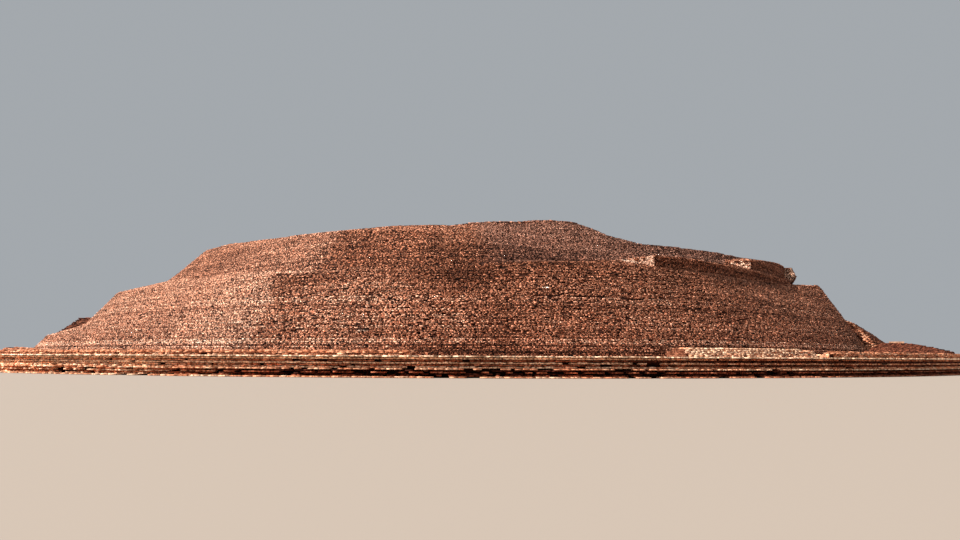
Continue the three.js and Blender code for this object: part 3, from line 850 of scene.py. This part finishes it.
def add_floor():
    """A plain pale floor that belongs to no piece."""
    mesh = bpy.data.meshes.new("floor")
    turns = np.linspace(0.0, ROUND, FLOOR_CORNERS, endpoint=False)
    ring = [(FLOOR_RADIUS * math.cos(a), FLOOR_RADIUS * math.sin(a), FLOOR_HEIGHT) for a in turns]
    mesh.from_pydata(ring, [], [tuple(range(FLOOR_CORNERS))])
    mesh.materials.append(Nodes("floor").finish(FLOOR_COLOUR, ROUGHNESS, CORE_GLOSS))
    floor = add_object("floor", mesh)


def within(value, low, high):
    return (value > low) & (value < high)


def starting(*words):
    return [name for name in sorted(nodes) if name.startswith(words)]


MOUND = starting("lower_", "upper_", "shell_", "heart", "summit", "crown_")
HIGH = ("upper", "crown", "summit")
CROWN = ("crown", "summit")
CALM = ("shell_low", "shell_high")

# Slots by the start of a node's name; all the others are the mound's
SLOTS = {"upper_brick": ("upper_", "summit", "crown_"), "podium_brick": ("plinth_", "podium_"),
         "pale_brick": ("foot_bench", "deck_", "cap_")}


def slot_of(name):
    for slot, starts in SLOTS.items():
        if name.startswith(starts):
            return slot
    return "mound_brick"


# Fades in degrees: to the rear on either side, to the right of the front, and to the left of it
REAR = (120.0, 150.0)
GREYER, RIGHT, RIGHT_END, PAINTED_SUN_STRIP_TURN = (8.0, 40.0), (1.0, 6.0), (60.0, 90.0), (20.6, 21.4)
FRONT_LEFT, NEAR_LEFT, FAR_LEFT = (2.0, 12.0), (20.0, 32.0), (25.0, 45.0)

# Where the side that faces left begins, in degrees left of the front, on the lower and upper tier
TIER_TOP = 2.33
LOWER_EDGE, LOWER_BEND, LOWER_BEND_AT = 17.3, 1.3, (1.5, 2.1)
UPPER_EDGE, UPPER_SLOPE = 14.5, 1.1
EDGE_FADE = (-0.3, 0.5)

# Start of a node's name, share of it, and what is added there to age, paleness and tone; on the side that
# faces left, paleness and tone are painted sunlight, and on the shells a darker tone is painted shade
TINTS = [
    ("", "all", 0.0, 0.0, -0.03),
    ("", "greyer", 0.15, 0.0, 0.0),
    # The side that faces left is painted as sunlit: paler, with its tone set to the brightness of its light
    ("", "left", 0.0, 0.0, -0.06),
    ("", "left ahead", 0.0, 0.55, 0.0),
    ("lower", "near left", 0.0, 0.3, 0.08),
    ("lower", "front left", 0.0, 0.06, 0.14),
    ("upper", "far left", 0.0, -0.3, 0.0),
    ("upper", "left", 0.0, 0.0, -0.08),
    (HIGH, "right ahead", 0.7, 0.0, 0.0),
    (HIGH, "right", 0.0, 0.0, -0.02),
    (HIGH, "all", 0.0, 0.0, -0.07),
    (CROWN, "all", 0.3, 0.0, 0.0),
    # Painted shade: the shells' fronts are darker, as shade falls on them
    (CALM, "all", 0.0, 0.0, -0.15),
]

# Painted sunlight on the courses at the top of the front, beside the shell's lit end: height, paleness and
# tone
PAINTED_SUN_STRIP_FROM, PAINTED_SUN_STRIP_PALE, PAINTED_SUN_STRIP_LIGHTER = 2.76, 0.95, 0.45

# Dark lines left by lost bricks, showing the masonry behind with its painted shade: azimuth and height at
# each end, and the share lost
LINES = [(7.7, 1.77, 18.7, 1.74, 0.9), (-18.7, 2.34, -14.4, 2.34, 0.85), (5.5, 2.715, 11.5, 2.71, 0.75),
         (11.5, 2.71, 17.0, 2.775, 0.75), (17.0, 2.775, 22.5, 2.86, 0.75), (-8.3, 0.955, -6.9, 0.955, 1.0)]

# Patches of tone: azimuth, height, reach in degrees and in metres, and how much darker, lighter where
# negative; the one at -16.8 degrees is painted shade in the corner beside the side that faces left
TONE_PATCHES = [(0.8, 2.2, 4.2, 0.3, 0.42), (4.5, 0.8, 1.6, 0.5, 0.3), (-13.5, 2.2, 3.0, 0.12, 0.25),
          (11.0, 2.8, 7.0, 0.3, 0.32), (-1.0, 2.85, 5.0, 0.3, 0.15), (-11.0, 2.95, 3.0, 0.35, 0.18),
          (-5.0, 1.5, 7.0, 0.55, -0.2), (0.0, 1.1, 2.0, 0.3, -0.15), (19.0, 1.5, 5.0, 0.6, -0.12),
          (32.0, 1.7, 6.0, 0.5, 0.1), (0.2, 0.5, 2.2, 0.15, 0.4), (-16.8, 2.1, 1.6, 0.22, 0.3)]

# Single bleached bricks: azimuth, height and half width in degrees
SPOTS = [(-7.5, 0.915), (9.0, 1.965)]
SPOT_HALF = 0.35

# Wear of the mound at the deck, and the height above it of full wear
LEAST_WEAR = 0.3
WEAR_RISE = 0.8


def lit_edge(z):
    """Degrees left of the front at which the side that faces left begins."""
    if z < TIER_TOP:
        return LOWER_EDGE + LOWER_BEND * step(z, *LOWER_BEND_AT)
    return UPPER_EDGE + UPPER_SLOPE * (z - TIER_TOP)


def mound_shares(turn, z):
    """How far each brick lies in the named parts of the mound."""
    edge = lit_edge(z)
    left = step(-turn, edge + EDGE_FADE[0], edge + EDGE_FADE[1])
    ahead = 1.0 - step(np.abs(turn), *REAR)
    right = step(turn, *RIGHT)
    return {
        "all": np.ones(len(turn)),
        "greyer": step(turn, *GREYER),
        "left": left,
        "left ahead": left * ahead,
        "near left": left * (1.0 - step(-turn, *NEAR_LEFT)),
        "front left": step(-turn, *FRONT_LEFT) * (1.0 - left),
        "far left": step(-turn, *FAR_LEFT) * left * ahead,
        "right": right,
        "right ahead": right * (1.0 - step(turn, *RIGHT_END)),
    }


def mound_look(name, angle, z):
    """Grey high at the front right, warm elsewhere; painted sunlight makes the side that faces left and a
    strip beside the shell's lit end paler, and painted shade darkens the shells' fronts.
    """
    turn = np.degrees(angle)
    shares = mound_shares(turn, z)
    look = np.zeros((3, len(turn)))
    for start, share, *amounts in TINTS:
        if name.startswith(start):
            look += np.outer(amounts, shares[share])
    age, pale, lighter = look
    # Patches made darker or lighter; the one at -16.8 degrees is painted shade
    for mark_turn, mark_z, width, rise, darker in TONE_PATCHES:
        away = ((turn - mark_turn) / width) ** 2 + ((z - mark_z) / rise) ** 2
        lighter = lighter - darker * np.exp(-away)
    # Painted sunlight: the top courses of the front beside the shell's lit end are paler and lighter
    if name == "lower_front" and z > PAINTED_SUN_STRIP_FROM:
        painted_sun_strip = step(turn, *PAINTED_SUN_STRIP_TURN)
        pale = np.maximum(pale, PAINTED_SUN_STRIP_PALE * painted_sun_strip)
        lighter = lighter + PAINTED_SUN_STRIP_LIGHTER * painted_sun_strip
    for spot_turn, spot_z in SPOTS:
        on = (np.abs(turn - spot_turn) < SPOT_HALF) & (abs(z - spot_z) < 0.5 * COURSE)
        pale = np.where(on, 1.0, pale)
        lighter = np.where(on, 1.0, lighter)
    return np.clip(age, 0.0, 1.0), pale, lighter


def wear_of_mound(z):
    """Even courses near the foot, rough ones higher up."""
    return min(1.0, LEAST_WEAR + (1.0 - LEAST_WEAR) * max(0.0, (z - DECK) / WEAR_RISE))


def keep_mound(angle, z, draw):
    """Leaves out the bricks along the dark lines."""
    turn = np.degrees(angle)
    kept = np.ones(len(angle), bool)
    for turn0, z0, turn1, z1, share in LINES:
        line = z0 + (z1 - z0) * (turn - turn0) / (turn1 - turn0)
        on = within(turn, turn0, turn1) & (z <= line) & (z > line - COURSE)
        kept &= ~(on & (draw < share))
    return kept


# Step on the crown that looks inwards: its place, and how its bricks stand out, fill a row and look
RISER = (math.radians(-4.0), math.radians(31.0))
RISER_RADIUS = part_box("heart")[1].x + 0.076
RISER_READ = 0.03
RISER_OUT, RISER_SPREAD = 0.008, 0.006
RISER_GAP, RISER_DEPTH = 0.001, 0.08
RISER_FILL = 0.92
RISER_TONES, RISER_AGE = (0.3, 0.8), 0.6


def lay_riser(bricks, solid):
    """Bricks on the side of the crown courses that looks inwards."""
    count = round((RISER[1] - RISER[0]) * RISER_RADIUS / BRICK)
    ends = np.linspace(RISER[0], RISER[1], count + 1)
    for start, end in zip(ends[:-1], ends[1:]):
        middle = (start + end) / 2.0
        right, left = np.array([start + RISER_GAP]), np.array([end - RISER_GAP])
        bottom = solid.below(middle, RISER_RADIUS - RISER_READ)[0]
        top, owner, _ = solid.below(middle, RISER_RADIUS + RISER_READ)
        rows = max(1, round((top - bottom) / COURSE))
        for k in range(rows):
            low = bottom + (top - bottom) * k / rows
            high = np.array([min(low + (top - bottom) * RISER_FILL / rows, TOP)])
            front = RISER_RADIUS - RISER_OUT - RISER_SPREAD * random.random()
            back = RISER_RADIUS + RISER_DEPTH
            corners = brick_corners(left, right, [front] * 4, back, np.array([low]), [high] * 2)
            add_bricks(bricks, MOUND[owner], corners, random.uniform(*RISER_TONES), RISER_AGE)


# Paving of the mound: radii and bricks of the summit, and outer radius of the rest
SUMMIT_FROM, SUMMIT_TO = 0.24, 6.0
SUMMIT_BRICK = (0.16, 0.24)
MOUND_TO = 14.6


def build_mound(materials):
    """Bricks of both tiers, the shells and the crown."""
    bricks = {}
    style = Style(mound_look, spread=0.5, out=0.012, rough=0.0105, lean=0.018, missing=0.05, tones=0.45,
                  wavy=1.0, wear_at=wear_of_mound, keep=keep_mound, calm=CALM)
    solid = lay_wall(bricks, MOUND, DECK + 0.002, cad_high.z, style)
    lay_riser(bricks, solid)
    pave(bricks, solid, MOUND, SUMMIT_FROM, SUMMIT_TO, mound_look, *SUMMIT_BRICK)
    pave(bricks, solid, MOUND, SUMMIT_TO, MOUND_TO, mound_look)
    finish_bricks(bricks, materials)


# Pieces on the deck, their courses, and the radii and bricks of their paving
LOOSE = (*RUBBLE, "deck_rubble_left")
NEAT = ("foot_bench", "deck_step_left", "deck_step_right")
DECK_START = DECK + 0.001
NEAT_COURSE = 0.037
DECK_PAVED = (14.2, 17.3)
DECK_BRICK = (0.11, 0.15)

# Age, paleness and tone of the pieces on the deck; the left rear heap's darker tone is painted shade
DECK_LOOK = (0.0, 0.6, 0.1)
DECK_LOOKS = {"rear_heap_left": (0.0, 0.0, -0.1), "rear_spur_right": (0.0, 0.2, 0.0),
              "right_low_wall": (0.0, 0.0, -0.1), "deck_rubble_left": (0.0, 0.5, 0.1)}

# Bench: fade to its painted sunlit stretch, tone before, and how much lighter after, as painted sunlight
BENCH_PAINTED_SUN = (17.9, 18.6)
BENCH_TONE, BENCH_PAINTED_SUN_LIGHTER = -0.1, 0.6


def deck_look(name, angle, z):
    if name == "foot_bench":
        # Past its left end the bench is painted pale and lighter, as painted sunlight
        fresh = step(np.degrees(angle), *BENCH_PAINTED_SUN)
        return 0.0, fresh, BENCH_PAINTED_SUN_LIGHTER * fresh + BENCH_TONE
    return DECK_LOOKS.get(name, DECK_LOOK)


def build_deck_pieces(materials):
    """Bricks of the pieces on the deck."""
    bricks = {}
    loose = Style(deck_look, length=0.11, spread=0.5, out=0.01, rough=0.014, lean=0.016, missing=0.1,
                  wavy=1.0)
    even = {"length": 0.13, "spread": 0.3, "rough": 0.004, "missing": 0.02}
    neat = Style(deck_look, out=0.034, lean=0.03, joint=0.2, **even)
    bench = Style(deck_look, out=0.038, lean=0.035, joint=0.06, batter=0.018, **even)
    for name in LOOSE:
        lay_wall(bricks, [name], DECK_START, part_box(name)[1].z, loose, MOUND)
    for name in NEAT:
        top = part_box(name)[1].z
        course = (top - DECK) / round((top - DECK) / NEAT_COURSE)
        lay_wall(bricks, [name], DECK_START, top, bench if name == "foot_bench" else neat, MOUND, course)
    names = LOOSE + NEAT
    pave(bricks, Solid([*names, *MOUND]), names, *DECK_PAVED, deck_look, *DECK_BRICK)
    finish_bricks(bricks, materials)


# Podium bands: bottom, top and number of courses
FOOTING = (0.0, 0.025, 1)
PLINTH = (0.025, 0.14, 4)
LEDGE = (0.14, 0.165, 1)
BAND = (0.165, 0.36, 5)
LIP = (0.36, DECK, 1)

# Worn stretches of the plinth: azimuths of the ends, and share of bricks lost
WORN = [(-27.0, -23.2, 0.5), (-12.0, -8.0, 0.25), (-5.4, -2.5, 0.6), (0.9, 6.7, 0.45), (9.0, 11.0, 0.3),
        (12.3, 13.3, 0.6), (19.0, 21.0, 0.4), (30.0, 34.0, 0.4)]

# Hole in the middle band: azimuths and heights
HOLE_TURN = (12.2, 13.2)
HOLE_HEIGHT = (0.19, 0.28)

# Fades round the podium in degrees, and up its middle band in metres: painted shade to the right, painted
# sunlight to the left, the even courses, the plinth's painted shade, and the painted shadow under the lip up
# the band
PODIUM_PAINTED_SHADE = (4.0, 20.0)
PODIUM_PAINTED_SUN, PODIUM_PAINTED_SUN_LIGHTER = (0.0, 24.0), 0.1
EVEN = (5.0, 22.0)
PLINTH_SHADE_TURN = (-20.0, -8.0)
UNDER_LIP_SHADE = (0.19, 0.26)

# Paleness and tone of the lit plinth, and how much darker it is painted where it lies in shade
PLINTH_PALE, PLINTH_TONE, PLINTH_PAINTED_SHADE = 0.9, 0.2, 0.63

# Middle band: its added tone, the paleness and painted shade of its right side, and their change higher up,
# where the shadow under the lip is painted
BAND_LIGHTER = 0.3
BAND_PALE, BAND_PALE_UP = 0.8, 0.5
BAND_PAINTED_SHADE, BAND_PAINTED_SHADE_UP = 0.34, 0.4

# Its odd and even courses: share of paleness and added tone, each with its change to the left
ODD_PALE, ODD_PALE_LEFT = 0.2, 0.6
ODD_LIGHTER, ODD_LEFT = -0.1, 0.3
EVEN_LIGHTER, EVEN_LEFT = 0.05, -0.2

# Odd and even courses of a band: tones, their spread, and how far they stand out or in
ODD_TONE, EVEN_TONE, BAND_SPREAD = -0.35, 0.45, 0.15
BAND_OUT = 0.015

# Masonry of the podium: depth behind the face, inner radius, points along a stretch, reach of its ends
CORE_BEHIND = 0.1
CORE_INNER = 16.0
CORE_POINTS = 31
CORE_END = 0.49


def keep_plinth(angle, z, draw):
    """Leaves out bricks in the worn stretches."""
    turn = np.degrees(angle)
    lost = np.zeros(len(angle))
    for low, high, share in WORN:
        lost = np.where(within(turn, low, high), share, lost)
    return draw > lost


def keep_band(angle, z, draw):
    """Leaves out the bricks of the hole."""
    return ~(within(np.degrees(angle), *HOLE_TURN) & within(z, *HOLE_HEIGHT))


def podium_look(left, middle, right, lighter=0.0, dark=0.2):
    """Paleness on the left, in the middle and on the right, where it is darker too: painted sunlight on the
    left, painted shade on the right.
    """
    def look(name, angle, z):
        turn = np.degrees(angle)
        ahead = 1.0 - step(np.abs(turn), *REAR)
        painted_shade = step(turn, *PODIUM_PAINTED_SHADE) * ahead
        fresh = step(-turn, *PODIUM_PAINTED_SUN) * ahead
        pale = middle + (left - middle) * fresh + (right - middle) * painted_shade
        return 0.0, pale, lighter - dark * painted_shade + PODIUM_PAINTED_SUN_LIGHTER * fresh
    return look


def band_look(name, angle, z):
    """The middle band: on the right its upper courses are painted dark, as the shadow under the lip, and its
    lowest are light.
    """
    # upper is where the shadow under the lip is painted
    upper = step(z, *UNDER_LIP_SHADE)
    look = podium_look(1.0, 1.0, BAND_PALE - BAND_PALE_UP * upper, BAND_LIGHTER,
                       BAND_PAINTED_SHADE + BAND_PAINTED_SHADE_UP * upper)
    age, pale, lighter = look(name, angle, z)
    course = round((z - BAND[0]) / (BAND[1] - BAND[0]) * BAND[2])
    even = step(-np.degrees(angle), *EVEN)
    if course % 2:
        return age, pale * (ODD_PALE + ODD_PALE_LEFT * even), lighter + ODD_LIGHTER + ODD_LEFT * even
    return age, pale, lighter + EVEN_LIGHTER + EVEN_LEFT * even


def plinth_look(name, angle, z):
    """Lit orange brick on the left, painted pale as sunlit; from the middle to the right painted dark as
    shade.
    """
    turn = np.degrees(angle)
    # dark is painted shade from the middle to the right
    dark = step(turn, *PLINTH_SHADE_TURN) * (1.0 - step(turn, *REAR))
    return 0.0, PLINTH_PALE * (1.0 - dark), PLINTH_TONE - PLINTH_PAINTED_SHADE * dark


def podium_bands():
    """Bands of the podium from the ground up, each with the style of its bricks."""
    # The footing, ledge and lip are paler and lighter, partly pale brick and partly painted sunlight on
    # these projecting courses
    footing_look = podium_look(left=1.0, middle=0.8, right=0.4, lighter=0.2)
    ledge_look = podium_look(left=1.0, middle=0.7, right=1.0, lighter=0.2, dark=-0.2)
    lip_look = podium_look(left=1.0, middle=1.0, right=1.0, lighter=0.6, dark=0.0)
    return [
        (FOOTING, Style(footing_look, length=0.2, spread=0.4, out=-0.004, rough=0.005, lean=0.006,
                        missing=0.1)),
        (PLINTH, Style(plinth_look, length=0.1, spread=0.5, out=-0.03, rough=0.016, lean=0.01,
                       missing=0.22, joint=0.2, keep=keep_plinth)),
        (LEDGE, Style(ledge_look, length=0.13, spread=0.5, out=0.002, rough=0.008, lean=0.014,
                      missing=0.1, keep=keep_plinth)),
        (BAND, Style(band_look, length=0.13, spread=0.4, out=0.0, rough=0.008, lean=0.01,
                     missing=0.04, joint=0.24, keep=keep_band)),
        (LIP, Style(lip_look, length=0.3, spread=0.3, out=0.006, rough=0.001, lean=0.014,
                    missing=0.0, joint=0.0, tones=0.2)),
    ]


def lay_band(bricks, solid, owners, band, style):
    """Courses of one band; those of a band with several differ."""
    low, high, count = band
    radius, owner, steep = solid.level((low + high) / 2.0)
    rise = (high - low) / count
    for k in range(count):
        lighter, out = 0.0, 0.0
        if count > 1:
            lighter = (ODD_TONE if k % 2 else EVEN_TONE) + BAND_SPREAD * random.normal()
            out = BAND_OUT * random.normal()
        course = Course(low + k * rise, low + (k + 1) * rise, (radius + out, owner, steep),
                        radius - DEPTH[1], lighter=lighter)
        lay_course(bricks, owners, course, style)


def stretch_outline(radius, mine):
    """Azimuths and radii of one stretch, in order and out to its ends."""
    angles = AZIMUTHS
    if mine[0] and mine[-1]:
        first = np.argmin(mine)
        mine, angles, radius = [np.roll(values, -first) for values in (mine, angles, radius)]
        angles = np.where(angles < angles[0], angles + ROUND, angles)
    angles, radius = angles[mine], radius[mine]
    half = CORE_END * SAMPLE_TURN
    angles = np.concatenate([[angles[0] - half], angles, [angles[-1] + half]])
    radius = np.concatenate([radius[:1], radius, radius[-1:]])
    picks = np.unique(np.linspace(0, len(angles) - 1, CORE_POINTS).round().astype(int))
    return angles[picks], radius[picks]


def podium_core(name, angles, radii, material):
    """Masonry of one stretch behind its face bricks."""
    inner = max(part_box("podium_bed")[1].x, CORE_INNER)
    points = []
    for angle, radius in zip(angles, radii):
        outer = radius - CORE_BEHIND
        points += [place(angle, outer, 0.0), place(angle, outer, DECK),
                   place(angle, inner, DECK), place(angle, inner, 0.0)]
    faces = []
    for i in range(len(angles) - 1):
        for j in range(4):
            k = (j + 1) % 4
            faces.append((4 * i + j, 4 * (i + 1) + j, 4 * (i + 1) + k, 4 * i + k))
    last = len(points) - 1
    faces += [(0, 1, 2, 3), (last, last - 1, last - 2, last - 3)]
    mesh = bpy.data.meshes.new("core_podium_" + name)
    mesh.from_pydata(points, [], faces)
    mesh.materials.append(material)
    core = add_object("core_podium_" + name, mesh)
    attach(core, "root")
    return core


def build_podium(materials):
    """Bricks of the podium, and the masonry behind them."""
    names = starting("plinth_", "podium_")
    names.remove("podium_bed")
    solid = Solid(names)
    stretches = [name.split("_", 1)[1] for name in names]
    owners = ["podium_" + stretch for stretch in stretches]
    bricks = {}
    for band, style in podium_bands():
        lay_band(bricks, solid, owners, band, style)
    made = finish_bricks(bricks, materials)
    radius, owner, _ = solid.level((BAND[0] + BAND[1]) / 2.0)
    for name in sorted(set(stretches)):
        mine = np.array([stretches[i] == name for i in owner])
        core = podium_core(name, *stretch_outline(radius, mine), materials["core_podium"])
        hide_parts("plinth_" + name)
        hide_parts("podium_" + name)


def dress_nodes(materials):
    """The CAD nodes show as the masonry behind the bricks."""
    for name, node in nodes.items():
        core = "core_" + slot_of(name).split("_")[0]
        node.data.materials.clear()
        node.data.materials.append(materials["slab" if name == "cap_slab" else core])


def main():
    bpy.context.scene.view_settings.view_transform = "Standard"
    add_camera()
    add_light()
    add_floor()
    materials = make_materials()
    dress_nodes(materials)
    build_mound(materials)
    build_deck_pieces(materials)
    build_podium(materials)


main()
